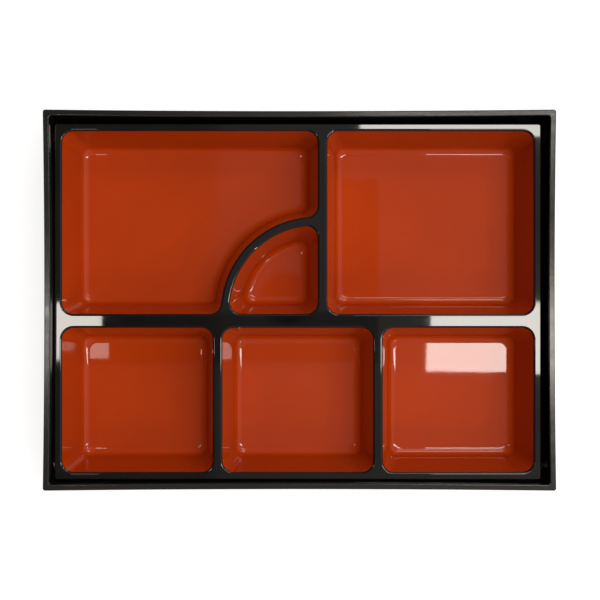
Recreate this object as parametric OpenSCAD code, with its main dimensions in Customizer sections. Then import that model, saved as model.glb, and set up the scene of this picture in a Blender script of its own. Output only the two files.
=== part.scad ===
// One open tier of a moulded lacquer-look lunch box: a plain black outer box and,
// loose inside it, a one-piece partition tray with six red-lacquered cells.
// The origin is on the table under the middle of the box, +X along its length,
// +Y towards the row with the large cell, +Z up. All sizes are in millimetres.

/* [Outer box] */
// Outside length of the box at its corners
box_length = 330; // [250:5:420]
// Outside width of the box at its corners
box_width = 245; // [200:5:320]
// Height from the table to the rim
box_height = 52; // [47:1:80]
// Thickness of the side walls at the rim
box_wall = 3.9; // [3:0.1:6]
// How far each moulded side draws in at the middle of its length
side_bow = 1; // [0:0.1:2]
// Corner radius of the outside, seen from above
box_corner = 1.6; // [1:0.1:6]
// Corner radius of the inside, seen from above
inner_corner = 1.9; // [1:0.1:6]
// Rounding along the two edges of the rim and the lower edge of the walls
edge_round = 0.7; // [0.2:0.1:1.4]
// Mould draft of the inside walls in degrees
inner_draft = 0.4; // [0:0.1:0.5]
// Thickness of the floor
box_floor = 3; // [2:0.1:5]
// Fillet where the inside walls meet the floor
box_fillet = 2.5; // [1:0.1:3.5]

/* [Stacking foot] */
// Height of the foot ring, which drops inside the rim of the tier below
foot_height = 4; // [2:0.5:6]
// Width of the foot ring
foot_width = 4; // [2:0.5:12]
// Clearance of the foot inside the rim of the tier below, on each side
foot_clearance = 0.6; // [0.3:0.1:1.5]
// Corner radius of the foot ring, seen from above
foot_corner = 2; // [1.5:0.1:6]
// Rounding along the edges of the foot ring
foot_round = 0.5; // [0.2:0.1:0.9]

/* [Partition tray] */
// Clearance between the flange and the middle of each side of the box
tray_gap = 1.6; // [0.8:0.1:3]
// Share of that clearance that the loose tray has slid along X
tray_slide_x = -0.7; // [-0.75:0.05:0.75]
// Share of that clearance that the loose tray has slid along Y
tray_slide_y = -0.6; // [-0.75:0.05:0.75]
// Thickness of the flange and of the dividers' tops
flange_thickness = 2.2; // [1.6:0.1:3]
// Corner radius of the flange, seen from above
flange_corner = 1.8; // [1.2:0.1:6]
// Rounding along the outer edge of the flange
flange_round = 0.8; // [0.3:0.1:1.1]
// Width of the flange between its outer edge and the red of the cells
flange_margin = 4.9; // [4.4:0.1:10]
// How far the turned-down edge of the flange reaches below its top
skirt_drop = 7; // [4:0.5:14]
// Thickness of that turned-down edge
skirt_wall = 1.6; // [1.2:0.1:1.8]
// Thickness of the moulded cell walls and floors
tray_wall = 1.8; // [1.2:0.1:2]

/* [Cells] */
// Depth of the cells below the flange
cell_depth = 33.8; // [24:0.2:36]
// Slope of the cell walls from upright, in degrees
wall_slope = 12; // [4:0.5:16]
// Width of the dividers between cells in one row, from red to red
divider = 6.3; // [5.8:0.1:12]
// Width of the divider between the two rows, from red to red
row_divider = 9.05; // [6:0.05:16]
// Length of the upper right cell along X
upper_right_length = 134.3; // [90:0.1:160]
// Depth of the lower row of cells along Y
lower_row_depth = 94; // [70:0.5:110]
// Radius of the small quarter-round cell
quarter_radius = 56.8; // [46:0.2:70]
// Inset of the arc centre from that cell's two straight sides
arc_inset = 1.25; // [0:0.05:4]
// Width of the curved divider round the small cell, from red to red
arc_divider = 5.7; // [5.6:0.1:10]
// Corner radius of the cells at their red upper edge
lip_corner = 7.6; // [5.5:0.1:12]
// Corner radius of the flat part of the cell floors
floor_corner = 5; // [3:0.1:7]
// Radius of the black lip that rolls from the flange into each cell
lip_round = 1.3; // [0.5:0.1:1.4]
// Fillet between the cell walls and floors
cell_fillet = 5.3; // [3:0.1:7]

/* [Red lacquer] */
// Thickness of the red coat that lines each cell
coat = 0.4; // [0.2:0.05:0.6]

/* [Hidden] */

// Steps round a small corner, round a cell corner, along a side and along the big arc
box_corner_steps = 4;
cell_corner_steps = 6;
side_steps = 8;
arc_steps = 12;
// Steps round an edge rounding, round the lip and round a fillet
edge_steps = 3;
lip_steps = 4;
fillet_steps = 4;
// How far a cutter runs past the surface that it opens
overrun = 1;

black = [0.08, 0.08, 0.08];
red = [0.72, 0.19, 0.05];

box_half = [box_length, box_width] / 2;
inside_half = box_half - [1, 1] * box_wall;
inner_floor_z = foot_height + box_floor;
foot_half = inside_half - [1, 1] * (side_bow + foot_clearance);

flange_half = inside_half - [1, 1] * (side_bow + tray_gap);
flange_z = inner_floor_z + tray_wall + coat + cell_depth;
tray_place = [tray_slide_x * tray_gap, tray_slide_y * tray_gap, flange_z];

// Edges of the cells in the tray's own frame, at their red upper edge
cells_half = flange_half - [1, 1] * flange_margin;
lower_row_top = -cells_half.y + lower_row_depth;
upper_row_bottom = lower_row_top + row_divider;
upper_split = cells_half.x - upper_right_length;
large_cell_right = upper_split - divider;
lower_cell_length = (2 * cells_half.x - 2 * divider) / 3;
arc_centre = [large_cell_right - arc_inset, upper_row_bottom + arc_inset];
bite_radius = quarter_radius + arc_divider;

// A cell is its low corner, its high corner and what its outline is
LOW = 0;
HIGH = 1;
KIND = 2;
large_cell = [
    [-cells_half.x, upper_row_bottom],
    [large_cell_right, cells_half.y],
    "bitten",
];
upper_right_cell = [[upper_split, upper_row_bottom], cells_half, "plain"];
quarter_cell = [
    [arc_centre.x - quarter_radius, upper_row_bottom],
    [large_cell_right, arc_centre.y + quarter_radius],
    "quarter",
];
function lower_cell(place) =
    let (left = -cells_half.x + place * (lower_cell_length + divider))
    [[left, -cells_half.y], [left + lower_cell_length, lower_row_top], "plain"];
cells = [
    large_cell,
    upper_right_cell,
    quarter_cell,
    lower_cell(0),
    lower_cell(1),
    lower_cell(2),
];

// The section of a cell wall, as the inset from the red edge and the height
// below the flange: a rolled lip, a straight slope, a fillet and the floor.
lip_drop = lip_round * (1 - sin(wall_slope));
fillet_z = cell_fillet - cell_depth;
function wall_inset(z) = (-z - lip_drop) * tan(wall_slope);
floor_inset = wall_inset(fillet_z) + cell_fillet / cos(wall_slope);
function corner_at(inset) = lip_corner + (floor_corner - lip_corner) * inset / floor_inset;

function arc(centre, r, from, to, steps) = [
    for (i = [0:steps])
        let (a = from + (to - from) * i / steps)
        centre + r * [cos(a), sin(a)]
];

function turned(p, quarters) =
    quarters == 0 ? p : turned([-p.y, p.x], quarters - 1);

// Rounded rectangle whose four sides draw in by bow at mid-span, anticlockwise
function bowed_outline(half, r, bow) = [
    for (side = [0:3])
        let (
            away = side % 2 == 0 ? half.x : half.y,
            along = side % 2 == 0 ? half.y : half.x,
            bowed = [
                for (i = [1:side_steps - 1])
                    let (share = 2 * i / side_steps - 1)
                    [away - bow * (1 - share * share), share * (along - r)]
            ],
            corner = arc([away - r, along - r], r, 0, 90, box_corner_steps)
        )
        for (p = concat(bowed, corner)) turned(p, side)
];

// Plain cell: a rectangle with round corners, anticlockwise from its lower right
function plain_outline(low, high, r) = concat(
    arc([high.x - r, low.y + r], r, -90, 0, cell_corner_steps),
    arc([high.x - r, high.y - r], r, 0, 90, cell_corner_steps),
    arc([low.x + r, high.y - r], r, 90, 180, cell_corner_steps),
    arc([low.x + r, low.y + r], r, 180, 270, cell_corner_steps)
);

function leg(long, short) = sqrt(long * long - short * short);
function heading(from, to) = atan2(to.y - from.y, to.x - from.x);

// Quarter-round cell: its two sharper corners are tangent to the big arc inside it
function quarter_outline(low, high, r, big) =
    let (
        reach = big - r,
        top = [high.x - r, arc_centre.y + leg(reach, high.x - r - arc_centre.x)],
        left = [arc_centre.x - leg(reach, low.y + r - arc_centre.y), low.y + r],
        top_heading = heading(arc_centre, top),
        left_heading = heading(arc_centre, left)
    )
    concat(
        arc([high.x - r, low.y + r], r, -90, 0, cell_corner_steps),
        arc(top, r, 0, top_heading, cell_corner_steps),
        [
            for (i = [1:arc_steps - 1])
                let (a = top_heading + (left_heading - top_heading) * i / arc_steps)
                arc_centre + big * [cos(a), sin(a)]
        ],
        arc(left, r, left_heading, 270, cell_corner_steps)
    );

// Large cell: a rectangle with a round bite, whose corners are tangent to the bite
function bitten_outline(low, high, r, bite) =
    let (
        reach = bite + r,
        below = [arc_centre.x - leg(reach, low.y + r - arc_centre.y), low.y + r],
        beside = [high.x - r, arc_centre.y + leg(reach, high.x - r - arc_centre.x)],
        below_heading = heading(arc_centre, below),
        beside_heading = heading(arc_centre, beside)
    )
    concat(
        arc(below, r, -90, below_heading - 180, cell_corner_steps),
        [
            for (i = [1:arc_steps - 1])
                let (a = below_heading + (beside_heading - below_heading) * i / arc_steps)
                arc_centre + bite * [cos(a), sin(a)]
        ],
        arc(beside, r, beside_heading - 180, 0, cell_corner_steps),
        arc([high.x - r, high.y - r], r, 0, 90, cell_corner_steps),
        arc([low.x + r, high.y - r], r, 90, 180, cell_corner_steps),
        arc([low.x + r, low.y + r], r, 180, 270, cell_corner_steps)
    );

// Outline of a cell drawn in by inset from its red edge, with corner radius r
function cell_outline(cell, inset, r) =
    let (
        low = cell[LOW] + [1, 1] * inset,
        high = cell[HIGH] - [1, 1] * inset
    )
    cell[KIND] == "quarter" ? quarter_outline(low, high, r, quarter_radius - inset) :
    cell[KIND] == "bitten" ? bitten_outline(low, high, r, bite_radius + inset) :
    plain_outline(low, high, r);

// A point that looks straight at every point of the cell's outline
function cell_hub(cell) =
    cell[KIND] == "bitten" ?
        ([cell[LOW].x, cell[HIGH].y] + arc_centre + bite_radius * [-1, 1]) / 2 :
    cell[KIND] == "quarter" ?
        arc_centre + quarter_radius * [-0.4, 0.4] :
        (cell[LOW] + cell[HIGH]) / 2;

function at_height(outline, z) = [for (p = outline) [p.x, p.y, z]];

// One ring of a cell's wall: inset on the red surface, and how far the ring
// stands outside that surface, which widens the corners by the same amount.
function cell_ring(cell, inset, outside, z) =
    at_height(cell_outline(cell, inset - outside, corner_at(inset) + outside), z);

// Rings of the surface that lies depth outside the red one, from the floor up
function basin_rings(cell, depth) = concat(
    [
        for (i = [fillet_steps:-1:0])
            let (a = wall_slope + (90 - wall_slope) * i / fillet_steps)
            cell_ring(
                cell,
                floor_inset - cell_fillet * cos(a),
                depth * cos(a),
                fillet_z - (cell_fillet + depth) * sin(a)
            )
    ],
    [cell_ring(cell, 0, depth / cos(wall_slope), -lip_drop)]
);

// Rings of the black lip, from the red edge up to the flange
function lip_rings(cell) = [
    for (i = [0:lip_steps])
        let (
            a = wall_slope + (90 - wall_slope) * i / lip_steps,
            outside = lip_round * (cos(wall_slope) - cos(a))
        )
        cell_ring(cell, 0, outside, lip_round * (sin(a) - 1))
];

function reversed(list) = [for (i = [len(list) - 1:-1:0]) list[i]];

// Solid through a row of closed outlines, from the lowest outside one to the last,
// with each end closed round a hub at that end's height
module loft(rings, hub = [0, 0]) {
    n = len(rings[0]);
    last = (len(rings) - 1) * n;
    low_hub = len(rings) * n;
    high_hub = low_hub + 1;
    points = concat(
        [for (ring = rings) each ring],
        [[hub.x, hub.y, rings[0][0].z]],
        [[hub.x, hub.y, rings[len(rings) - 1][0].z]]
    );
    sides = [
        for (k = [0:len(rings) - 2], i = [0:n - 1])
            let (a = k * n + i, b = k * n + (i + 1) % n)
            each [[a, a + n, b + n], [a, b + n, b]]
    ];
    low_end = [for (i = [0:n - 1]) [low_hub, i, (i + 1) % n]];
    high_end = [for (i = [0:n - 1]) [high_hub, last + (i + 1) % n, last + i]];
    polyhedron(points, concat(sides, low_end, high_end));
}

// Ring of the box, drawn in by inset from an outline of the given half size
function box_ring(half, inset, r, z, bow = side_bow) =
    at_height(bowed_outline(half - [1, 1] * inset, r, bow), z);

// The full outside of the box, from under the foot to the rim
module box_outside() {
    foot = [
        for (i = [0:edge_steps])
            let (a = 90 * i / edge_steps, inset = foot_round * (1 - sin(a)))
            box_ring(
                foot_half, inset, foot_corner - inset, foot_round * (1 - cos(a)), 0
            )
    ];
    foot_top = [box_ring(foot_half, 0, foot_corner, foot_height, 0)];
    wall_bottom = [
        for (i = [0:edge_steps])
            let (a = 90 * i / edge_steps, inset = edge_round * (1 - sin(a)))
            box_ring(
                box_half, inset, box_corner - inset,
                foot_height + edge_round * (1 - cos(a))
            )
    ];
    rim = [
        for (i = [0:edge_steps])
            let (a = 90 * i / edge_steps, inset = edge_round * (1 - cos(a)))
            box_ring(
                box_half, inset, box_corner - inset,
                box_height - edge_round * (1 - sin(a))
            )
    ];
    loft(concat(foot, foot_top, wall_bottom, rim));
}

// The hollow of the box, from its floor out through the rim
module box_inside() {
    wall_height = box_height - inner_floor_z;
    draft_at_floor = (wall_height - box_fillet) * tan(inner_draft);
    floor_ring_corner = inner_corner / 2;
    fillet = [
        for (i = [0:edge_steps])
            let (
                a = 90 * i / edge_steps,
                inset = draft_at_floor + box_fillet * (1 - sin(a))
            )
            box_ring(
                inside_half, inset,
                floor_ring_corner + (inner_corner - floor_ring_corner) * sin(a),
                inner_floor_z + box_fillet * (1 - cos(a))
            )
    ];
    rim = [
        for (i = [0:edge_steps])
            let (a = 90 * i / edge_steps, outset = edge_round * (1 - cos(a)))
            box_ring(
                inside_half, -outset, inner_corner + outset,
                box_height - edge_round * (1 - sin(a))
            )
    ];
    opening = [
        box_ring(inside_half, -edge_round, inner_corner + edge_round, box_height + overrun)
    ];
    loft(concat(fillet, rim, opening));
}

// The shallow hollow under the floor, inside the foot ring
module foot_inside() {
    outset_corner = foot_corner / 2;
    below = [
        box_ring(
            foot_half, foot_width - foot_round, outset_corner + foot_round, -overrun, 0
        )
    ];
    edge = [
        for (i = [0:edge_steps])
            let (a = 90 * i / edge_steps, outset = foot_round * (1 - sin(a)))
            box_ring(
                foot_half, foot_width - outset, outset_corner + outset,
                foot_round * (1 - cos(a)), 0
            )
    ];
    ceiling = [box_ring(foot_half, foot_width, outset_corner, foot_height, 0)];
    loft(concat(below, edge, ceiling));
}

module outer_box() {
    color(black)
    difference() {
        box_outside();
        box_inside();
        foot_inside();
    }
}

// The flange of the tray with its turned-down edge, whole, before the cells
module flange_plate() {
    top_edge = [
        for (i = [0:edge_steps])
            let (a = 90 * i / edge_steps, inset = flange_round * (1 - cos(a)))
            box_ring(
                flange_half, inset, flange_corner - inset, flange_round * (sin(a) - 1), 0
            )
    ];
    bottom = [box_ring(flange_half, 0, flange_corner, -skirt_drop, 0)];
    pocket_corner = flange_corner / 2;
    difference() {
        loft(concat(bottom, top_edge));
        loft([
            box_ring(flange_half, skirt_wall, pocket_corner, -skirt_drop - overrun, 0),
            box_ring(flange_half, skirt_wall, pocket_corner, -flange_thickness, 0),
        ]);
    }
}

// The outside of one cell as it hangs under the flange
module cell_body(cell) {
    hang = coat + tray_wall;
    inside_plate = -flange_thickness / 2;
    rings = basin_rings(cell, hang);
    top = cell_ring(
        cell, 0, hang / cos(wall_slope) - wall_inset(inside_plate), inside_plate
    );
    loft(concat([for (i = [0:fillet_steps]) rings[i]], [top]), cell_hub(cell));
}

// What is moulded away for one cell: its lip, and room for its red coat
module cell_hollow(cell) {
    lip = lip_rings(cell);
    opening = at_height(lip[lip_steps], overrun);
    loft(concat(basin_rings(cell, coat), lip, [opening]), cell_hub(cell));
}

module partition_tray() {
    color(black)
    translate(tray_place)
    difference() {
        union() {
            flange_plate();
            for (cell = cells) cell_body(cell);
        }
        for (cell = cells) cell_hollow(cell);
    }
}

// The red coat of one cell, a thin skin that fills its wall's rebate
module lacquer(cell) {
    color(red)
    translate(tray_place)
    loft(concat(basin_rings(cell, coat), reversed(basin_rings(cell, 0))), cell_hub(cell));
}

module large_cell_lacquer() { lacquer(large_cell); }
module upper_right_cell_lacquer() { lacquer(upper_right_cell); }
module quarter_cell_lacquer() { lacquer(quarter_cell); }
module lower_left_cell_lacquer() { lacquer(lower_cell(0)); }
module lower_middle_cell_lacquer() { lacquer(lower_cell(1)); }
module lower_right_cell_lacquer() { lacquer(lower_cell(2)); }

outer_box();
partition_tray();
large_cell_lacquer();
upper_right_cell_lacquer();
quarter_cell_lacquer();
lower_left_cell_lacquer();
lower_middle_cell_lacquer();
lower_right_cell_lacquer();
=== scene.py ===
import math

import bmesh
import bpy
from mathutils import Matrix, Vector


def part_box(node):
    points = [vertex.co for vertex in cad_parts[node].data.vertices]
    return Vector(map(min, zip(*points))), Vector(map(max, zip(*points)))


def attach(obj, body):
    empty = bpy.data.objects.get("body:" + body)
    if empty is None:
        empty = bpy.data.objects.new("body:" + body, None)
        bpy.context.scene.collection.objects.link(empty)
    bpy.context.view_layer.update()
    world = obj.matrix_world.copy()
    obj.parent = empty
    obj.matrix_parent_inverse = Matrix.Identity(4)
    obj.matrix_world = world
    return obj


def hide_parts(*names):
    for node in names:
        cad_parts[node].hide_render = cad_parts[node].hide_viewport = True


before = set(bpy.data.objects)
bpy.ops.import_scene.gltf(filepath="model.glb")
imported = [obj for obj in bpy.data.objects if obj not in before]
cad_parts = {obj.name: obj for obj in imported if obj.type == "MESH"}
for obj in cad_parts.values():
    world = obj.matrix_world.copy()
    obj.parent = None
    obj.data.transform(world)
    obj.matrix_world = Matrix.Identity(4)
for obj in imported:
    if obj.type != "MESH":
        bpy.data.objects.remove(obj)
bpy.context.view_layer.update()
mm = 0.001
weldDistance = 1e-6   # points nearer than this are one, metres
sharpAngle = 32       # degrees, past which an edge shades sharp
print("frame loaded:", ", ".join(sorted(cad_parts)))


# Outlines seen from above, anticlockwise lists of (x, y)

steps = {
    "boxCorner": 10,    # round a corner of the box or flange
    "side": 28,         # along a bowed side
    "cellCorner": 18,   # round a corner of a cell
    "arc": 56,          # along the big arc
    "edge": 6,          # round an edge
    "lip": 8,           # round the black lip
    "fillet": 12,       # between wall and floor
}


def arcPoints(cx, cy, radius, start, end, count):
    turns = [start + (end - start) * i / count for i in range(count + 1)]
    return [(cx + radius * math.cos(a), cy + radius * math.sin(a)) for a in turns]


def bowedOutline(halfX, halfY, radius, bow):
    points = []
    for side in range(4):
        away, along = (halfX, halfY) if side % 2 == 0 else (halfY, halfX)
        span = [2 * i / steps["side"] - 1 for i in range(1, steps["side"])]
        part = [(away - bow * (1 - s * s), s * (along - radius)) for s in span]
        middle = (away - radius, along - radius)
        part += arcPoints(*middle, radius, 0, math.pi / 2, steps["boxCorner"])
        for _ in range(side):
            part = [(-y, x) for x, y in part]
        points += part
    return points


def plainOutline(low, high, radius):
    corners = [
        (high[0] - radius, low[1] + radius),
        (high[0] - radius, high[1] - radius),
        (low[0] + radius, high[1] - radius),
        (low[0] + radius, low[1] + radius),
    ]
    points = []
    for turn, (x, y) in enumerate(corners):
        start = (turn - 1) * math.pi / 2
        points += arcPoints(x, y, radius, start, start + math.pi / 2, steps["cellCorner"])
    return points


def leg(longSide, shortSide):
    return math.sqrt(longSide ** 2 - shortSide ** 2)


def heading(start, end):
    return math.atan2(end[1] - start[1], end[0] - start[0])


def quarterOutline(low, high, radius, big, centre):
    count = steps["cellCorner"]
    reach = big - radius
    top = (high[0] - radius, centre[1] + leg(reach, high[0] - radius - centre[0]))
    left = (centre[0] - leg(reach, low[1] + radius - centre[1]), low[1] + radius)
    topTurn, leftTurn = heading(centre, top), heading(centre, left)
    points = arcPoints(high[0] - radius, low[1] + radius, radius, -math.pi / 2, 0, count)
    points += arcPoints(*top, radius, 0, topTurn, count)
    points += arcPoints(*centre, big, topTurn, leftTurn, steps["arc"])[1:-1]
    points += arcPoints(*left, radius, leftTurn, 1.5 * math.pi, count)
    return points


def bittenOutline(low, high, radius, bite, centre):
    count = steps["cellCorner"]
    reach = bite + radius
    below = (centre[0] - leg(reach, low[1] + radius - centre[1]), low[1] + radius)
    beside = (high[0] - radius, centre[1] + leg(reach, high[0] - radius - centre[0]))
    belowTurn, besideTurn = heading(centre, below), heading(centre, beside)
    points = arcPoints(*below, radius, -math.pi / 2, belowTurn - math.pi, count)
    points += arcPoints(*centre, bite, belowTurn, besideTurn, steps["arc"])[1:-1]
    points += arcPoints(*beside, radius, besideTurn - math.pi, 0, count)
    points += arcPoints(high[0] - radius, high[1] - radius, radius, 0, math.pi / 2, count)
    points += arcPoints(low[0] + radius, high[1] - radius, radius, math.pi / 2, math.pi, count)
    points += arcPoints(low[0] + radius, low[1] + radius, radius, math.pi, 1.5 * math.pi, count)
    return points


# Materials. Each noise runs over noiseSpan, and is given as its scale and detail.

noiseSpan = (0.3, 0.7)


def newMaterial(name):
    material = bpy.data.materials.new(name)
    material.use_nodes = True
    tree = material.node_tree
    tree.nodes.clear()
    output = tree.nodes.new("ShaderNodeOutputMaterial")
    shader = tree.nodes.new("ShaderNodeBsdfPrincipled")
    tree.links.new(shader.outputs["BSDF"], output.inputs["Surface"])
    return material, tree, shader


def noiseOn(tree, scale, detail, stretch=(1, 1, 1)):
    place = tree.nodes.new("ShaderNodeTexCoord")
    mapping = tree.nodes.new("ShaderNodeMapping")
    mapping.inputs["Scale"].default_value = stretch
    noise = tree.nodes.new("ShaderNodeTexNoise")
    noise.inputs["Scale"].default_value = scale
    noise.inputs["Detail"].default_value = detail
    tree.links.new(place.outputs["Object"], mapping.inputs["Vector"])
    tree.links.new(mapping.outputs["Vector"], noise.inputs["Vector"])
    return noise.outputs["Fac"]


def rampOf(tree, factor, dark, light):
    ramp = tree.nodes.new("ShaderNodeValToRGB")
    for element, place, colour in zip(ramp.color_ramp.elements, noiseSpan, (dark, light)):
        element.position = place
        element.color = (*colour, 1)
    tree.links.new(factor, ramp.inputs["Fac"])
    return ramp.outputs["Color"]


def rangeOf(tree, factor, low, high):
    node = tree.nodes.new("ShaderNodeMapRange")
    node.inputs["From Min"].default_value = noiseSpan[0]
    node.inputs["From Max"].default_value = noiseSpan[1]
    node.inputs["To Min"].default_value = low
    node.inputs["To Max"].default_value = high
    tree.links.new(factor, node.inputs["Value"])
    return node.outputs["Result"]


def bumpOf(tree, shader, layers):
    normal = None
    for height, distance in layers:
        bump = tree.nodes.new("ShaderNodeBump")
        bump.inputs["Strength"].default_value = 1
        bump.inputs["Distance"].default_value = distance
        tree.links.new(height, bump.inputs["Height"])
        if normal:
            tree.links.new(normal, bump.inputs["Normal"])
        normal = bump.outputs["Normal"]
    tree.links.new(normal, shader.inputs["Normal"])


lacquer = {
    "dark": (0.365, 0.033, 0.0012),   # where the coat lies thickest
    "light": (0.410, 0.039, 0.0016),
    "tintNoise": (16, 3),
    "roughness": (0.014, 0.034),
    "roughNoise": (60, 3),
    "ior": 1.48,
    "wave": 0.00005,                  # long waves of the moulding under the coat, metres
    "waveNoise": (14, 1),
    "peel": 0.0000012,                # orange peel of the sprayed coat, metres
    "peelNoise": (520, 1),
}


def redLacquer():
    material, tree, shader = newMaterial("redLacquer")
    tint = noiseOn(tree, *lacquer["tintNoise"])
    colour = rampOf(tree, tint, lacquer["dark"], lacquer["light"])
    tree.links.new(colour, shader.inputs["Base Color"])
    shader.inputs["IOR"].default_value = lacquer["ior"]
    rough = rangeOf(tree, noiseOn(tree, *lacquer["roughNoise"]), *lacquer["roughness"])
    tree.links.new(rough, shader.inputs["Roughness"])
    waves = (noiseOn(tree, *lacquer["waveNoise"]), lacquer["wave"])
    peel = (noiseOn(tree, *lacquer["peelNoise"]), lacquer["peel"])
    bumpOf(tree, shader, [waves, peel])
    return material


trayBlack = {
    "dark": (0.0035, 0.0033, 0.0032),
    "light": (0.0060, 0.0056, 0.0053),
    "tintNoise": (30, 3),
    "roughness": (0.02, 0.05),
    "roughNoise": (90, 4),
    "ior": 1.54,
    "wave": 0.00004,
    "waveNoise": (18, 1),
}


def glossBlack():
    material, tree, shader = newMaterial("glossBlack")
    tint = noiseOn(tree, *trayBlack["tintNoise"])
    colour = rampOf(tree, tint, trayBlack["dark"], trayBlack["light"])
    tree.links.new(colour, shader.inputs["Base Color"])
    shader.inputs["IOR"].default_value = trayBlack["ior"]
    rough = rangeOf(tree, noiseOn(tree, *trayBlack["roughNoise"]), *trayBlack["roughness"])
    tree.links.new(rough, shader.inputs["Roughness"])
    bumpOf(tree, shader, [(noiseOn(tree, *trayBlack["waveNoise"]), trayBlack["wave"])])
    return material


boxBlack = {
    "body": (0.0040, 0.0038, 0.0036),
    "rim": (0.0165, 0.0155, 0.0142),  # the rim's top is painted lighter than the body: painted light, where the top catches the light
    "rimDark": (0.0100, 0.0094, 0.0086),
    "paintedLightFrom": 0.0508,             # height where the painted light on the rim's top begins and is full, metres
    "paintedLightTo": 0.0517,
    "streakNoise": (55, 4, (0.1, 1, 1)),     # scale, detail and stretch along the box
    "bodyRoughness": (0.07, 0.12),
    "bodyNoise": (60, 4),
    "rimRoughness": (0.15, 0.23),
    "rimNoise": (140, 4, (0.12, 1, 1)),
    "grain": 0.000010,                # fine grain of the moulding, metres
    "grainNoise": (900, 3, (0.4, 1, 1)),
}


# The Mix node keeps one set of sockets for each kind: first, second and result
mixSockets = {"RGBA": (6, 7, 2), "FLOAT": (2, 3, 0)}


def mixOf(tree, kind, factor, first, second):
    node = tree.nodes.new("ShaderNodeMix")
    node.data_type = kind
    firstSocket, secondSocket, result = mixSockets[kind]
    tree.links.new(factor, node.inputs[0])
    for socket, value in ((firstSocket, first), (secondSocket, second)):
        if isinstance(value, tuple):
            node.inputs[socket].default_value = (*value, 1)
        else:
            tree.links.new(value, node.inputs[socket])
    return node.outputs[result]


def satinBlack():
    material, tree, shader = newMaterial("satinBlack")
    place = tree.nodes.new("ShaderNodeTexCoord")
    apart = tree.nodes.new("ShaderNodeSeparateXYZ")
    tree.links.new(place.outputs["Object"], apart.inputs[0])
    # Painted light: above this height the base colour turns from the black body to the lighter
    # rim colour, standing in for the light the rim's top catches; the streak noise varies that
    # lighter tone along the box
    paintedLightBand = tree.nodes.new("ShaderNodeMapRange")
    paintedLightBand.inputs["From Min"].default_value = boxBlack["paintedLightFrom"]
    paintedLightBand.inputs["From Max"].default_value = boxBlack["paintedLightTo"]
    tree.links.new(apart.outputs["Z"], paintedLightBand.inputs["Value"])
    onRim = paintedLightBand.outputs["Result"]
    streaks = noiseOn(tree, *boxBlack["streakNoise"])
    rimColour = rampOf(tree, streaks, boxBlack["rimDark"], boxBlack["rim"])
    colour = mixOf(tree, "RGBA", onRim, boxBlack["body"], rimColour)
    tree.links.new(colour, shader.inputs["Base Color"])
    bodyRough = rangeOf(tree, noiseOn(tree, *boxBlack["bodyNoise"]), *boxBlack["bodyRoughness"])
    rimRough = rangeOf(tree, noiseOn(tree, *boxBlack["rimNoise"]), *boxBlack["rimRoughness"])
    rough = mixOf(tree, "FLOAT", onRim, bodyRough, rimRough)
    tree.links.new(rough, shader.inputs["Roughness"])
    bumpOf(tree, shader, [(noiseOn(tree, *boxBlack["grainNoise"]), boxBlack["grain"])])
    return material


finishes = {"box": satinBlack(), "tray": glossBlack(), "red": redLacquer()}
print("materials made")


# Meshes

def newPiece(name, bm, material):
    bmesh.ops.remove_doubles(bm, verts=bm.verts, dist=weldDistance)
    bmesh.ops.recalc_face_normals(bm, faces=bm.faces)
    openEdges = sum(1 for edge in bm.edges if len(edge.link_faces) != 2)
    for face in bm.faces:
        face.smooth = True
    mesh = bpy.data.meshes.new(name)
    bm.to_mesh(mesh)
    bm.free()
    mesh.materials.append(material)
    for polygon in mesh.polygons:
        polygon.material_index = 0
    mesh.set_sharp_from_angle(angle=math.radians(sharpAngle))
    piece = bpy.data.objects.new(name, mesh)
    bpy.context.scene.collection.objects.link(piece)
    print(name, "faces", len(mesh.polygons), "open edges", openEdges)
    return piece


def addRing(bm, outline, z, move=(0, 0)):
    return [bm.verts.new(((x + move[0]) * mm, (y + move[1]) * mm, z * mm)) for x, y in outline]


def loftRings(bm, rings):
    count = len(rings[0])
    for low, high in zip(rings, rings[1:]):
        for i in range(count):
            j = (i + 1) % count
            bm.faces.new((low[i], low[j], high[j], high[i]))


box = {
    "wall": 3.9,
    "bow": 1.0,           # how far each side draws in at mid-span
    "corner": 1.6,
    "innerCorner": 1.9,
    "round": 0.7,         # along the edges of the rim
    "draft": math.radians(0.4),
    "floor": 3.0,
    "fillet": 2.5,
    "footHeight": 4.0,
    "footWidth": 4.0,
    "footClearance": 0.6,
    "footCorner": 2.0,
    "footRound": 0.5,
    "underBand": 6.0,     # band of the underside inside the foot ring
    "flatEdge": 0.12,     # narrow band that keeps a flat face flat beside a rounding
}
boxLow, boxHigh = [Vector(corner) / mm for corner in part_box("outer_box")]
boxHalf = ((boxHigh.x - boxLow.x) / 2, (boxHigh.y - boxLow.y) / 2)
boxHeight = boxHigh.z
insideHalf = (boxHalf[0] - box["wall"], boxHalf[1] - box["wall"])
footInset = box["wall"] + box["bow"] + box["footClearance"]
footHalf = (boxHalf[0] - footInset, boxHalf[1] - footInset)
innerFloor = box["footHeight"] + box["floor"]


def quarterTurn(count):
    return [math.pi / 2 * i / count for i in range(count + 1)]


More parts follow.
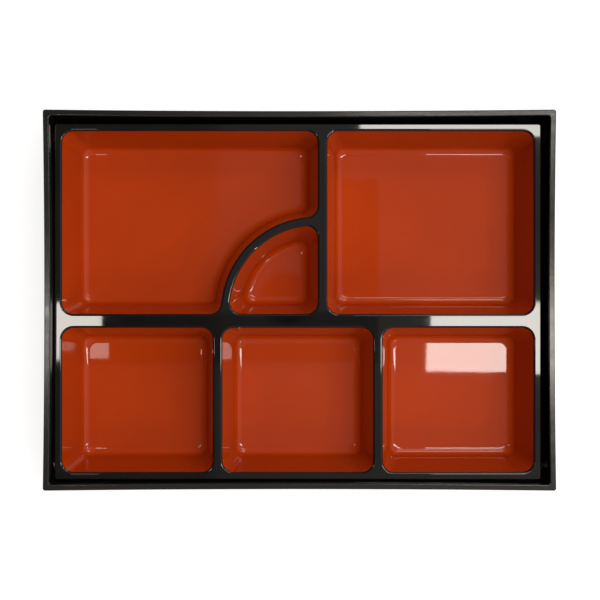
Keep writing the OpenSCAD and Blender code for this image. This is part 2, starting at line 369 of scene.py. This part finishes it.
def makeBox():
    bm = bmesh.new()
    edgeTurns = quarterTurn(steps["edge"])
    rings = []

    def ring(half, inset, radius, z, bow):
        outline = bowedOutline(half[0] - inset, half[1] - inset, radius, bow)
        rings.append(addRing(bm, outline, z))

    hollowCorner = box["footCorner"] / 2
    flat, footEdge, rimEdge = box["flatEdge"], box["footRound"], box["round"]
    ring(footHalf, box["footWidth"] + box["underBand"], hollowCorner, box["footHeight"], 0)
    ring(footHalf, box["footWidth"], hollowCorner, box["footHeight"], 0)
    for a in reversed(edgeTurns):
        outset = footEdge * (1 - math.sin(a))
        z = footEdge * (1 - math.cos(a))
        ring(footHalf, box["footWidth"] - outset, hollowCorner + outset, z, 0)
    ring(footHalf, box["footWidth"] - footEdge - flat, hollowCorner + footEdge + flat, 0, 0)
    ring(footHalf, footEdge + flat, box["footCorner"] - footEdge - flat, 0, 0)
    for a in edgeTurns:
        inset = footEdge * (1 - math.sin(a))
        ring(footHalf, inset, box["footCorner"] - inset, footEdge * (1 - math.cos(a)), 0)
    ring(footHalf, 0, box["footCorner"], box["footHeight"], 0)
    ring(boxHalf, rimEdge + flat, box["corner"] - rimEdge, box["footHeight"], box["bow"])
    for a in edgeTurns:
        inset = rimEdge * (1 - math.sin(a))
        z = box["footHeight"] + rimEdge * (1 - math.cos(a))
        ring(boxHalf, inset, box["corner"] - inset, z, box["bow"])
    for a in edgeTurns:
        inset = rimEdge * (1 - math.cos(a))
        z = boxHeight - rimEdge * (1 - math.sin(a))
        ring(boxHalf, inset, box["corner"] - inset, z, box["bow"])
    ring(boxHalf, rimEdge + flat, box["corner"] - rimEdge, boxHeight, box["bow"])
    mouthCorner = box["innerCorner"] + rimEdge + flat
    ring(insideHalf, -rimEdge - flat, mouthCorner, boxHeight, box["bow"])
    for a in reversed(edgeTurns):
        outset = rimEdge * (1 - math.cos(a))
        z = boxHeight - rimEdge * (1 - math.sin(a))
        ring(insideHalf, -outset, box["innerCorner"] + outset, z, box["bow"])
    draftAtFloor = (boxHeight - innerFloor - box["fillet"]) * math.tan(box["draft"])
    floorCorner = box["innerCorner"] / 2
    for a in reversed(edgeTurns):
        inset = draftAtFloor + box["fillet"] * (1 - math.sin(a))
        radius = floorCorner + (box["innerCorner"] - floorCorner) * math.sin(a)
        z = innerFloor + box["fillet"] * (1 - math.cos(a))
        ring(insideHalf, inset, radius, z, box["bow"])
    lastInset = draftAtFloor + box["fillet"] + flat
    ring(insideHalf, lastInset, floorCorner, innerFloor, box["bow"])
    loftRings(bm, rings)
    bm.faces.new(rings[0])
    bm.faces.new(rings[-1])
    return newPiece("boxShell", bm, finishes["box"])


boxShell = makeBox()


# The tray and its cells

tray = {
    "flange": 2.2,
    "flangeCorner": 1.8,
    "flangeRound": 0.8,
    "skirtDrop": 7.0,             # from the flange's top to the skirt's lower edge
    "skirtWall": 1.6,
    "skirtRound": 0.3,
    "wall": 1.8,
    "coat": 0.4,
    "slope": math.radians(12),    # of the cells' walls, from upright
    "lipCorner": 7.6,
    "floorCorner": 5.0,
    "lip": 1.3,                   # radius of the black lip
    "fillet": 5.3,
    "arcInset": 1.25,             # from the quarter cell's sides to the arc's centre
    "arcDivider": 5.7,            # between the arcs of the quarter cell and the large cell
    "hubShare": 0.4,              # how far into the quarter cell its floor's hub lies
    "flatEdge": 0.15,
}
slopeCos, slopeTan = math.cos(tray["slope"]), math.tan(tray["slope"])
trayLow, trayHigh = [Vector(corner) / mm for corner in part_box("partition_tray")]
flangeTop = trayHigh.z
trayMiddle = ((trayLow.x + trayHigh.x) / 2, (trayLow.y + trayHigh.y) / 2)
flangeHalf = ((trayHigh.x - trayLow.x) / 2, (trayHigh.y - trayLow.y) / 2)
cellDepth = flangeTop - trayLow.z - tray["wall"] - tray["coat"]
lipDrop = tray["lip"] * (1 - math.sin(tray["slope"]))
filletZ = tray["fillet"] - cellDepth
floorInset = (-filletZ - lipDrop) * slopeTan + tray["fillet"] / slopeCos
cellKinds = {
    "large_cell_lacquer": "bitten",
    "upper_right_cell_lacquer": "plain",
    "quarter_cell_lacquer": "quarter",
    "lower_left_cell_lacquer": "plain",
    "lower_middle_cell_lacquer": "plain",
    "lower_right_cell_lacquer": "plain",
}


def redEdge(node):
    low, high = [Vector(corner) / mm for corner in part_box(node)]
    coatReach = tray["coat"] / slopeCos
    return (low.x + coatReach, low.y + coatReach), (high.x - coatReach, high.y - coatReach)


quarterLow, quarterHigh = redEdge("quarter_cell_lacquer")
arcCentre = (quarterHigh[0] - tray["arcInset"], quarterLow[1] + tray["arcInset"])
quarterRadius = quarterHigh[1] - arcCentre[1]


def cellOutline(node, inset, radius):
    low, high = redEdge(node)
    low = (low[0] + inset, low[1] + inset)
    high = (high[0] - inset, high[1] - inset)
    kind = cellKinds[node]
    if kind == "quarter":
        return quarterOutline(low, high, radius, quarterRadius - inset, arcCentre)
    if kind == "bitten":
        bite = quarterRadius + tray["arcDivider"] + inset
        return bittenOutline(low, high, radius, bite, arcCentre)
    return plainOutline(low, high, radius)


def cellHub(node):
    low, high = redEdge(node)
    if cellKinds[node] == "quarter":
        into = tray["hubShare"] * quarterRadius
        return (arcCentre[0] - into, arcCentre[1] + into)
    if cellKinds[node] == "bitten":
        bite = quarterRadius + tray["arcDivider"]
        return ((low[0] + arcCentre[0] - bite) / 2, (high[1] + arcCentre[1] + bite) / 2)
    return ((low[0] + high[0]) / 2, (low[1] + high[1]) / 2)


# The loop that a cell's surface follows: its red edge, with the matching point of the
# floor's edge and the outward direction kept at each of its points
def guideLoop(node):
    edge = cellOutline(node, 0, tray["lipCorner"])
    floor = cellOutline(node, floorInset, tray["floorCorner"])
    wider = cellOutline(node, -1, tray["lipCorner"] + 1)
    mesh = bpy.data.meshes.new("guide")
    mesh.from_pydata([(x * mm, y * mm, 0) for x, y in edge], [], [])
    floorPoint = mesh.attributes.new("floorPoint", "FLOAT_VECTOR", "POINT")
    outward = mesh.attributes.new("outward", "FLOAT_VECTOR", "POINT")
    for i, (x, y) in enumerate(edge):
        floorPoint.data[i].vector = (floor[i][0] * mm, floor[i][1] * mm, 0)
        outward.data[i].vector = (wider[i][0] - x, wider[i][1] - y, 0)
    return mesh


# Arithmetic on geometry node fields, written as sums and products
class Field:
    def __init__(self, tree, socket):
        self.tree = tree
        self.socket = socket

    def made(self, operation, *others):
        node = self.tree.nodes.new("ShaderNodeMath")
        node.operation = operation
        for slot, value in enumerate((self, *others)):
            if isinstance(value, Field):
                self.tree.links.new(value.socket, node.inputs[slot])
            else:
                node.inputs[slot].default_value = value
        return Field(self.tree, node.outputs[0])

    def __add__(self, other):
        return self.made("ADD", other)

    def __sub__(self, other):
        return self.made("SUBTRACT", other)

    def __mul__(self, other):
        return self.made("MULTIPLY", other)

    def __truediv__(self, other):
        return self.made("DIVIDE", other)

    def sin(self):
        return self.made("SINE")

    def cos(self):
        return self.made("COSINE")

    def above(self, other):
        return self.made("GREATER_THAN", other)


def vectorSum(tree, parts):
    total = None
    for vector, factor in parts:
        scaled = tree.nodes.new("ShaderNodeVectorMath")
        scaled.operation = "SCALE"
        tree.links.new(vector, scaled.inputs[0])
        tree.links.new(factor.socket, scaled.inputs["Scale"])
        if total is None:
            total = scaled.outputs[0]
            continue
        added = tree.nodes.new("ShaderNodeVectorMath")
        added.operation = "ADD"
        tree.links.new(total, added.inputs[0])
        tree.links.new(scaled.outputs[0], added.inputs[1])
        total = added.outputs[0]
    return total


# One moulded surface of a cell. Its rows run down from the flange: row 0 is a flat band,
# rows 1 to lipSteps + 1 roll over the lip, the next is a ledge, then filletSteps + 1 rows
# run from the foot of the sloped wall round the fillet, and the last two are a flat band
# of floor and the hub.
def cellSurfaceTree():
    tree = bpy.data.node_groups.new("cellSurface", "GeometryNodeTree")
    face = tree.interface
    face.new_socket(name="Geometry", in_out="OUTPUT", socket_type="NodeSocketGeometry")
    face.new_socket(name="Guide", in_out="INPUT", socket_type="NodeSocketGeometry")
    floats = [
        "Slope", "Lip Radius", "Fillet Radius", "Fillet Height", "Floor Inset", "Set Back",
        "Top Height", "Lip Drop", "Edge Width", "Flat Band", "Place Height",
    ]
    for name in floats:
        face.new_socket(name=name, in_out="INPUT", socket_type="NodeSocketFloat")
    for name in ("Lip Steps", "Fillet Steps", "First Row", "Loop Points"):
        face.new_socket(name=name, in_out="INPUT", socket_type="NodeSocketInt")
    face.new_socket(name="Hub", in_out="INPUT", socket_type="NodeSocketVector")
    face.new_socket(name="Material", in_out="INPUT", socket_type="NodeSocketMaterial")
    given = tree.nodes.new("NodeGroupInput")
    result = tree.nodes.new("NodeGroupOutput")

    def field(name):
        return Field(tree, given.outputs[name])

    slope, lip, fillet = field("Slope"), field("Lip Radius"), field("Fillet Radius")
    lipSteps, filletSteps = field("Lip Steps"), field("Fillet Steps")
    index = Field(tree, tree.nodes.new("GeometryNodeInputIndex").outputs[0])
    rows = lipSteps + filletSteps + 6 - field("First Row")
    row = index.made("FLOORED_MODULO", rows) + field("First Row")
    place = (index / rows + 0.0001).made("FLOOR").made("FLOORED_MODULO", field("Loop Points"))

    quarter = math.pi / 2
    bend = slope * -1 + quarter
    lipTurn = ((row - 1) / lipSteps * bend * -1 + quarter).made("MINIMUM", quarter)
    filletTurn = (row - lipSteps - 3) / filletSteps * bend + slope
    filletTurn = filletTurn.made("MINIMUM", quarter).made("MAXIMUM", slope)
    onLow = row.above(lipSteps + 2.5)
    onLip = row.above(lipSteps + 1.5) * -1 + 1
    onLedge = onLow * -1 + 1 - onLip
    onFirst = row.above(0.5) * -1 + 1
    onFlat = row.above(lipSteps + filletSteps + 3.5)
    onHub = row.above(lipSteps + filletSteps + 4.5)

    setBack = field("Set Back")
    ledgeFall = (field("Top Height") * -1 - field("Lip Drop")) * slope.made("TANGENT")
    inset = onLow * (field("Floor Inset") - fillet * filletTurn.cos())
    inset = inset + onFlat * field("Flat Band")
    outside = onLip * (lip * (slope.cos() - lipTurn.cos()) + field("Edge Width"))
    outside = outside + onFirst * field("Flat Band")
    outside = outside + onLedge * (setBack / slope.cos() - ledgeFall)
    outside = outside + onLow * setBack * filletTurn.cos()
    height = onLip * lip * (lipTurn.sin() - 1) + onLedge * field("Top Height")
    height = height + onLow * (field("Fillet Height") - (fillet + setBack) * filletTurn.sin())
    height = height + field("Place Height")

    def sampled(attribute):
        node = tree.nodes.new("GeometryNodeSampleIndex")
        node.data_type = "FLOAT_VECTOR"
        node.domain = "POINT"
        tree.links.new(given.outputs["Guide"], node.inputs["Geometry"])
        if attribute == "position":
            source = tree.nodes.new("GeometryNodeInputPosition").outputs[0]
        else:
            named = tree.nodes.new("GeometryNodeInputNamedAttribute")
            named.data_type = "FLOAT_VECTOR"
            named.inputs["Name"].default_value = attribute
            source = named.outputs["Attribute"]
        tree.links.new(source, node.inputs["Value"])
        tree.links.new(place.socket, node.inputs["Index"])
        return node.outputs["Value"]

    share = inset / field("Floor Inset")
    offHub = onHub * -1 + 1
    spot = vectorSum(tree, [
        (sampled("position"), offHub * (share * -1 + 1)),
        (sampled("floorPoint"), offHub * share),
        (sampled("outward"), offHub * outside),
        (given.outputs["Hub"], onHub),
    ])
    apart = tree.nodes.new("ShaderNodeSeparateXYZ")
    together = tree.nodes.new("ShaderNodeCombineXYZ")
    tree.links.new(spot, apart.inputs[0])
    tree.links.new(apart.outputs["X"], together.inputs["X"])
    tree.links.new(apart.outputs["Y"], together.inputs["Y"])
    tree.links.new(height.socket, together.inputs["Z"])

    grid = tree.nodes.new("GeometryNodeMeshGrid")
    tree.links.new((field("Loop Points") + 1).socket, grid.inputs["Vertices X"])
    tree.links.new(rows.socket, grid.inputs["Vertices Y"])
    shaped = tree.nodes.new("GeometryNodeSetPosition")
    tree.links.new(grid.outputs["Mesh"], shaped.inputs["Geometry"])
    tree.links.new(together.outputs[0], shaped.inputs["Position"])
    merged = tree.nodes.new("GeometryNodeMergeByDistance")
    merged.inputs["Distance"].default_value = weldDistance
    smooth = tree.nodes.new("GeometryNodeSetShadeSmooth")
    real = tree.nodes.new("GeometryNodeRealizeInstances")
    painted = tree.nodes.new("GeometryNodeSetMaterial")
    tree.links.new(given.outputs["Material"], painted.inputs["Material"])
    chain = [shaped, merged, smooth, real, painted, result]
    for first, second in zip(chain, chain[1:]):
        tree.links.new(first.outputs[0], second.inputs[0])
    return tree


surfaceTree = cellSurfaceTree()
inputSockets = [item for item in surfaceTree.interface.items_tree if item.in_out == "INPUT"]
socketKeys = {item.name: item.identifier for item in inputSockets}


# Runs the tree on one cell and gives the surface as a plain mesh
def cellSurface(node, material, firstRow, setBack, topHeight, edgeWidth=0):
    guide = guideLoop(node)
    holder = bpy.data.objects.new("cellGuide", guide)
    bpy.context.scene.collection.objects.link(holder)
    modifier = holder.modifiers.new("cellSurface", "NODES")
    modifier.node_group = surfaceTree
    hub = cellHub(node)
    values = {
        "Slope": tray["slope"],
        "Lip Radius": tray["lip"] * mm,
        "Fillet Radius": tray["fillet"] * mm,
        "Fillet Height": filletZ * mm,
        "Floor Inset": floorInset * mm,
        "Set Back": setBack * mm,
        "Top Height": topHeight * mm,
        "Lip Drop": lipDrop * mm,
        "Edge Width": edgeWidth * mm,
        "Flat Band": tray["flatEdge"] * mm,
        "Place Height": flangeTop * mm,
        "Lip Steps": steps["lip"],
        "Fillet Steps": steps["fillet"],
        "First Row": firstRow,
        "Loop Points": len(guide.vertices),
        "Hub": (hub[0] * mm, hub[1] * mm, 0),
        "Material": material,
    }
    for name, value in values.items():
        modifier[socketKeys[name]] = value
    depsgraph = bpy.context.evaluated_depsgraph_get()
    mesh = bpy.data.meshes.new_from_object(holder.evaluated_get(depsgraph))
    bpy.data.objects.remove(holder)
    return mesh


lipEndRow = steps["lip"] + 1   # the row where a coat's face begins
ledgeRow = steps["lip"] + 2    # the row where a surface without a lip begins


# A coat is its red face, the narrow top of its edge, and its back against the tray
def makeCoat(node):
    coat = tray["coat"]
    face = cellSurface(node, finishes["red"], lipEndRow, 0, -lipDrop, coat / slopeCos)
    back = cellSurface(node, finishes["red"], ledgeRow, coat, -lipDrop)
    bm = bmesh.new()
    bm.from_mesh(face)
    bm.from_mesh(back)
    name = node.replace("_lacquer", "").title().replace("_", "") + "Coat"
    return newPiece(name[0].lower() + name[1:], bm, finishes["red"])


def makeTray():
    bm = bmesh.new()
    hang = tray["coat"] + tray["wall"]
    for node in cellKinds:
        bm.from_mesh(cellSurface(node, finishes["tray"], 0, tray["coat"], -lipDrop))
        bm.from_mesh(cellSurface(node, finishes["tray"], ledgeRow, hang, -tray["flange"]))
    rings = []

    def ring(inset, radius, z):
        outline = bowedOutline(flangeHalf[0] - inset, flangeHalf[1] - inset, radius, 0)
        rings.append(addRing(bm, outline, flangeTop + z, trayMiddle))

    roundTop, roundLow = tray["flangeRound"], tray["skirtRound"]
    corner, pocketCorner = tray["flangeCorner"], tray["flangeCorner"] / 2
    ring(roundTop + tray["flatEdge"], corner - roundTop, 0)
    for a in reversed(quarterTurn(steps["edge"])):
        inset = roundTop * (1 - math.cos(a))
        ring(inset, corner - inset, roundTop * (math.sin(a) - 1))
    for a in quarterTurn(steps["edge"] // 2):
        inset = roundLow * (1 - math.cos(a))
        ring(inset, corner - inset, -tray["skirtDrop"] + roundLow * (1 - math.sin(a)))
    for a in reversed(quarterTurn(steps["edge"] // 2)):
        outset = roundLow * (1 - math.cos(a))
        z = -tray["skirtDrop"] + roundLow * (1 - math.sin(a))
        ring(tray["skirtWall"] - outset, pocketCorner + outset, z)
    ring(tray["skirtWall"], pocketCorner, -tray["flange"])
    loftRings(bm, rings)
    bmesh.ops.remove_doubles(bm, verts=bm.verts, dist=weldDistance)
    borders = [edge for edge in bm.edges if edge.is_boundary]
    midFlange = (flangeTop - tray["flange"] / 2) * mm
    plates = (
        [edge for edge in borders if edge.verts[0].co.z > midFlange],
        [edge for edge in borders if edge.verts[0].co.z <= midFlange],
    )
    for edges in plates:   # the flange's top and its underside, round the cells
        bmesh.ops.triangle_fill(bm, use_beauty=True, use_dissolve=False, edges=edges)
    return newPiece("trayShell", bm, finishes["tray"])


trayShell = makeTray()
coats = {node: makeCoat(node) for node in cellKinds}

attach(boxShell, "box")
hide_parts("outer_box")
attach(trayShell, "tray")
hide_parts("partition_tray")
for node, coatPiece in coats.items():
    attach(coatPiece, "tray")
    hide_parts(node)
print("pieces made")


# Camera straight above, as the photograph was taken

camera = {
    "height": 650,        # above the rim
    "offset": (0.34, 0.07),
    "lens": 60.75,
    "sensor": 36,
}


def makeCamera():
    data = bpy.data.cameras.new("camera")
    data.lens = camera["lens"]
    data.sensor_width = camera["sensor"]
    data.clip_start = 0.01
    holder = bpy.data.objects.new("camera", data)
    x, y = camera["offset"]
    holder.location = (x * mm, y * mm, (boxHeight + camera["height"]) * mm)
    bpy.context.scene.collection.objects.link(holder)
    bpy.context.scene.camera = holder


# Soft boxes overhead: x and y are their low and high edges in metres, and glow is their
# radiance

softBoxes = {
    "overRight": {"x": (0.240, 0.860), "y": (-0.136, -0.004), "glow": 15.5},
    "overTopRight": {"x": (0.110, 0.560), "y": (0.300, 0.348), "glow": 14},
    "overLeft": {"x": (-0.520, -0.363), "y": (-0.075, -0.005), "glow": 15},
    "overLeftEnd": {"x": (-0.520, -0.412), "y": (-0.110, -0.075), "glow": 14},
    "overLeftDim": {"x": (-0.412, -0.363), "y": (-0.110, -0.075), "glow": 4.5},
}
softBoxHeight = 1.2            # above the flange, metres
lampTint = (1.0, 0.945, 0.87)
lampTarget = (0, 0, 0.03)      # the middle of the box, metres

# Lamps aimed at the middle of the box, in metres. The gloss mirrors only some of them.
studioLamps = {
    "above": {"place": (0.16, 0.06, 1.45), "size": (0.6, 0.6), "glow": 5.4},
    "side": {"place": (1.45, -0.45, 1.30), "size": (1.6, 1.6), "glow": 0.50},
    "front": {"place": (0.30, -1.40, 1.20), "size": (1.0, 0.8), "glow": 1.4},
    "behind": {"place": (0.50, 1.15, 1.25), "size": (0.52, 0.36), "glow": 5.2},
    "glintFront": {"place": (0.90, -0.95, 1.15), "size": (0.07, 0.07), "glow": 120},
    "glintBehind": {"place": (0.95, 0.85, 1.10), "size": (0.07, 0.07), "glow": 120},
}
mirroredLamps = ("behind", "glintFront", "glintBehind")


def addLamp(name, place, target, size, glow):
    data = bpy.data.lights.new(name, "AREA")
    data.shape = "RECTANGLE"
    data.size, data.size_y = size
    data.energy = glow * size[0] * size[1] * math.pi
    data.color = lampTint
    lamp = bpy.data.objects.new(name, data)
    lamp.location = place
    aim = Vector(target) - Vector(place)
    lamp.rotation_euler = aim.to_track_quat("-Z", "Y").to_euler()
    lamp.visible_camera = False
    bpy.context.scene.collection.objects.link(lamp)
    return lamp


def makeLights():
    for name, settings in softBoxes.items():
        (left, right), (low, high) = settings["x"], settings["y"]
        z = flangeTop * mm + softBoxHeight
        place = ((left + right) / 2, (low + high) / 2, z)
        below = (place[0], place[1], 0)
        addLamp(name, place, below, (right - left, high - low), settings["glow"])
    for name, settings in studioLamps.items():
        lamp = addLamp(name, settings["place"], lampTarget, settings["size"], settings["glow"])
        lamp.visible_glossy = name in mirroredLamps


# The world is dark to the left and brightens to the right: x of the direction, radiance
worldStops = [
    (-1.0, 0.03), (-0.3, 0.10), (-0.1, 0.14), (-0.0785, 0.18), (-0.077, 0.44), (-0.0745, 0.44),
    (-0.073, 0.28), (0.1, 0.33), (0.3, 0.42), (0.5, 0.52), (1.0, 0.6),
]
worldTint = (1, 0.985, 0.965)
# A darker round patch straight above: its middle, where its dark core ends and where it is
# clear again, as parts of the direction, and the share of the light left in its core
roundShade = {"middle": (-0.013, 0.001, 0), "dark": 0.023, "clear": 0.029, "share": 0.30}
# Darker panels overhead: low and high x and y of the direction, and the share left
darkPanels = [
    {"x": (0.028, 0.0765), "y": (-0.004, 0.118), "share": 0.35},
    {"x": (-0.240, 0.0765), "y": (-0.060, -0.012), "share": 0.40},
]
panelEdges = (0.003, 0.0015)   # width of a panel's soft edge at its low and high sides


def joinedBy(tree, operation, sockets):
    joined = sockets[0]
    for socket in sockets[1:]:
        node = tree.nodes.new("ShaderNodeMath")
        node.operation = operation
        tree.links.new(joined, node.inputs[0])
        tree.links.new(socket, node.inputs[1])
        joined = node.outputs[0]
    return joined


def makeWorld():
    world = bpy.data.worlds.new("studio")
    bpy.context.scene.world = world
    world.use_nodes = True
    tree = world.node_tree
    direction = tree.nodes.new("ShaderNodeTexCoord")
    apart = tree.nodes.new("ShaderNodeSeparateXYZ")
    spread = tree.nodes.new("ShaderNodeMapRange")
    spread.inputs["From Min"].default_value = -1
    spread.inputs["From Max"].default_value = 1
    ramp = tree.nodes.new("ShaderNodeValToRGB")
    elements = ramp.color_ramp.elements
    while len(elements) < len(worldStops):
        elements.new(0.5)
    for element, (x, radiance) in zip(elements, worldStops):
        element.position = (x + 1) / 2
        element.color = (*[radiance * part for part in worldTint], 1)
    tree.links.new(direction.outputs["Generated"], apart.inputs[0])
    tree.links.new(apart.outputs["X"], spread.inputs["Value"])
    tree.links.new(spread.outputs["Result"], ramp.inputs["Fac"])
    sideways = tree.nodes.new("ShaderNodeCombineXYZ")
    tree.links.new(apart.outputs["X"], sideways.inputs["X"])
    tree.links.new(apart.outputs["Y"], sideways.inputs["Y"])
    away = tree.nodes.new("ShaderNodeVectorMath")
    away.operation = "DISTANCE"
    away.inputs[1].default_value = roundShade["middle"]
    tree.links.new(sideways.outputs[0], away.inputs[0])
    shade = tree.nodes.new("ShaderNodeMapRange")
    shade.inputs["From Min"].default_value = roundShade["dark"]
    shade.inputs["From Max"].default_value = roundShade["clear"]
    shade.inputs["To Min"].default_value = roundShade["share"]
    tree.links.new(away.outputs["Value"], shade.inputs["Value"])
    shares = [shade.outputs["Result"]]
    for panel in darkPanels:
        sides = []
        for axis in ("x", "y"):
            low, high = panel[axis]
            for start, end in ((low - panelEdges[0], low), (high + panelEdges[1], high)):
                side = tree.nodes.new("ShaderNodeMapRange")
                side.inputs["From Min"].default_value = start
                side.inputs["From Max"].default_value = end
                tree.links.new(apart.outputs[axis.upper()], side.inputs["Value"])
                sides.append(side.outputs["Result"])
        kept = tree.nodes.new("ShaderNodeMath")
        kept.operation = "MULTIPLY_ADD"
        kept.inputs[1].default_value = panel["share"] - 1
        kept.inputs[2].default_value = 1
        tree.links.new(joinedBy(tree, "MULTIPLY", sides), kept.inputs[0])
        shares.append(kept.outputs[0])
    studio = tree.nodes["Background"]
    tree.links.new(ramp.outputs["Color"], studio.inputs["Color"])
    tree.links.new(joinedBy(tree, "MULTIPLY", shares), studio.inputs["Strength"])
    paper = tree.nodes.new("ShaderNodeBackground")   # what the camera sees past the floor
    paper.inputs["Color"].default_value = (1, 1, 1, 1)
    rays = tree.nodes.new("ShaderNodeLightPath")
    seen = tree.nodes.new("ShaderNodeMixShader")
    tree.links.new(rays.outputs["Is Camera Ray"], seen.inputs["Fac"])
    tree.links.new(studio.outputs[0], seen.inputs[1])
    tree.links.new(paper.outputs[0], seen.inputs[2])
    tree.links.new(seen.outputs[0], tree.nodes["World Output"].inputs["Surface"])


paleFloor = {
    "reach": 3.0,         # from the middle to each side, metres
    "height": -0.0003,    # a hair below the foot, so that the two faces don't coincide
    "tone": 0.32,
    "shine": 0.80,        # added where the camera or the gloss sees the floor
}


def makeFloor():
    mesh = bpy.data.meshes.new("floor")
    reach, z = paleFloor["reach"], paleFloor["height"]
    corners = [(-reach, -reach, z), (reach, -reach, z), (reach, reach, z), (-reach, reach, z)]
    mesh.from_pydata(corners, [], [(0, 1, 2, 3)])
    floor = bpy.data.objects.new("floor", mesh)
    bpy.context.scene.collection.objects.link(floor)
    material = bpy.data.materials.new("paleFloor")
    material.use_nodes = True
    tree = material.node_tree
    tree.nodes.clear()
    output = tree.nodes.new("ShaderNodeOutputMaterial")
    matt = tree.nodes.new("ShaderNodeBsdfDiffuse")
    matt.inputs["Color"].default_value = (*[paleFloor["tone"]] * 3, 1)
    shine = tree.nodes.new("ShaderNodeEmission")
    both = tree.nodes.new("ShaderNodeAddShader")
    rays = tree.nodes.new("ShaderNodeLightPath")
    kinds = ("Is Camera Ray", "Is Glossy Ray", "Is Transmission Ray")
    level = tree.nodes.new("ShaderNodeMath")
    level.operation = "MULTIPLY"
    level.inputs[1].default_value = paleFloor["shine"]
    seen = joinedBy(tree, "MAXIMUM", [rays.outputs[kind] for kind in kinds])
    tree.links.new(seen, level.inputs[0])
    tree.links.new(level.outputs[0], shine.inputs["Strength"])
    tree.links.new(matt.outputs[0], both.inputs[0])
    tree.links.new(shine.outputs[0], both.inputs[1])
    tree.links.new(both.outputs[0], output.inputs["Surface"])
    floor.data.materials.append(material)


makeCamera()
makeLights()
makeWorld()
makeFloor()
bpy.context.scene.view_settings.view_transform = "Standard"
print("camera, lights and floor set")
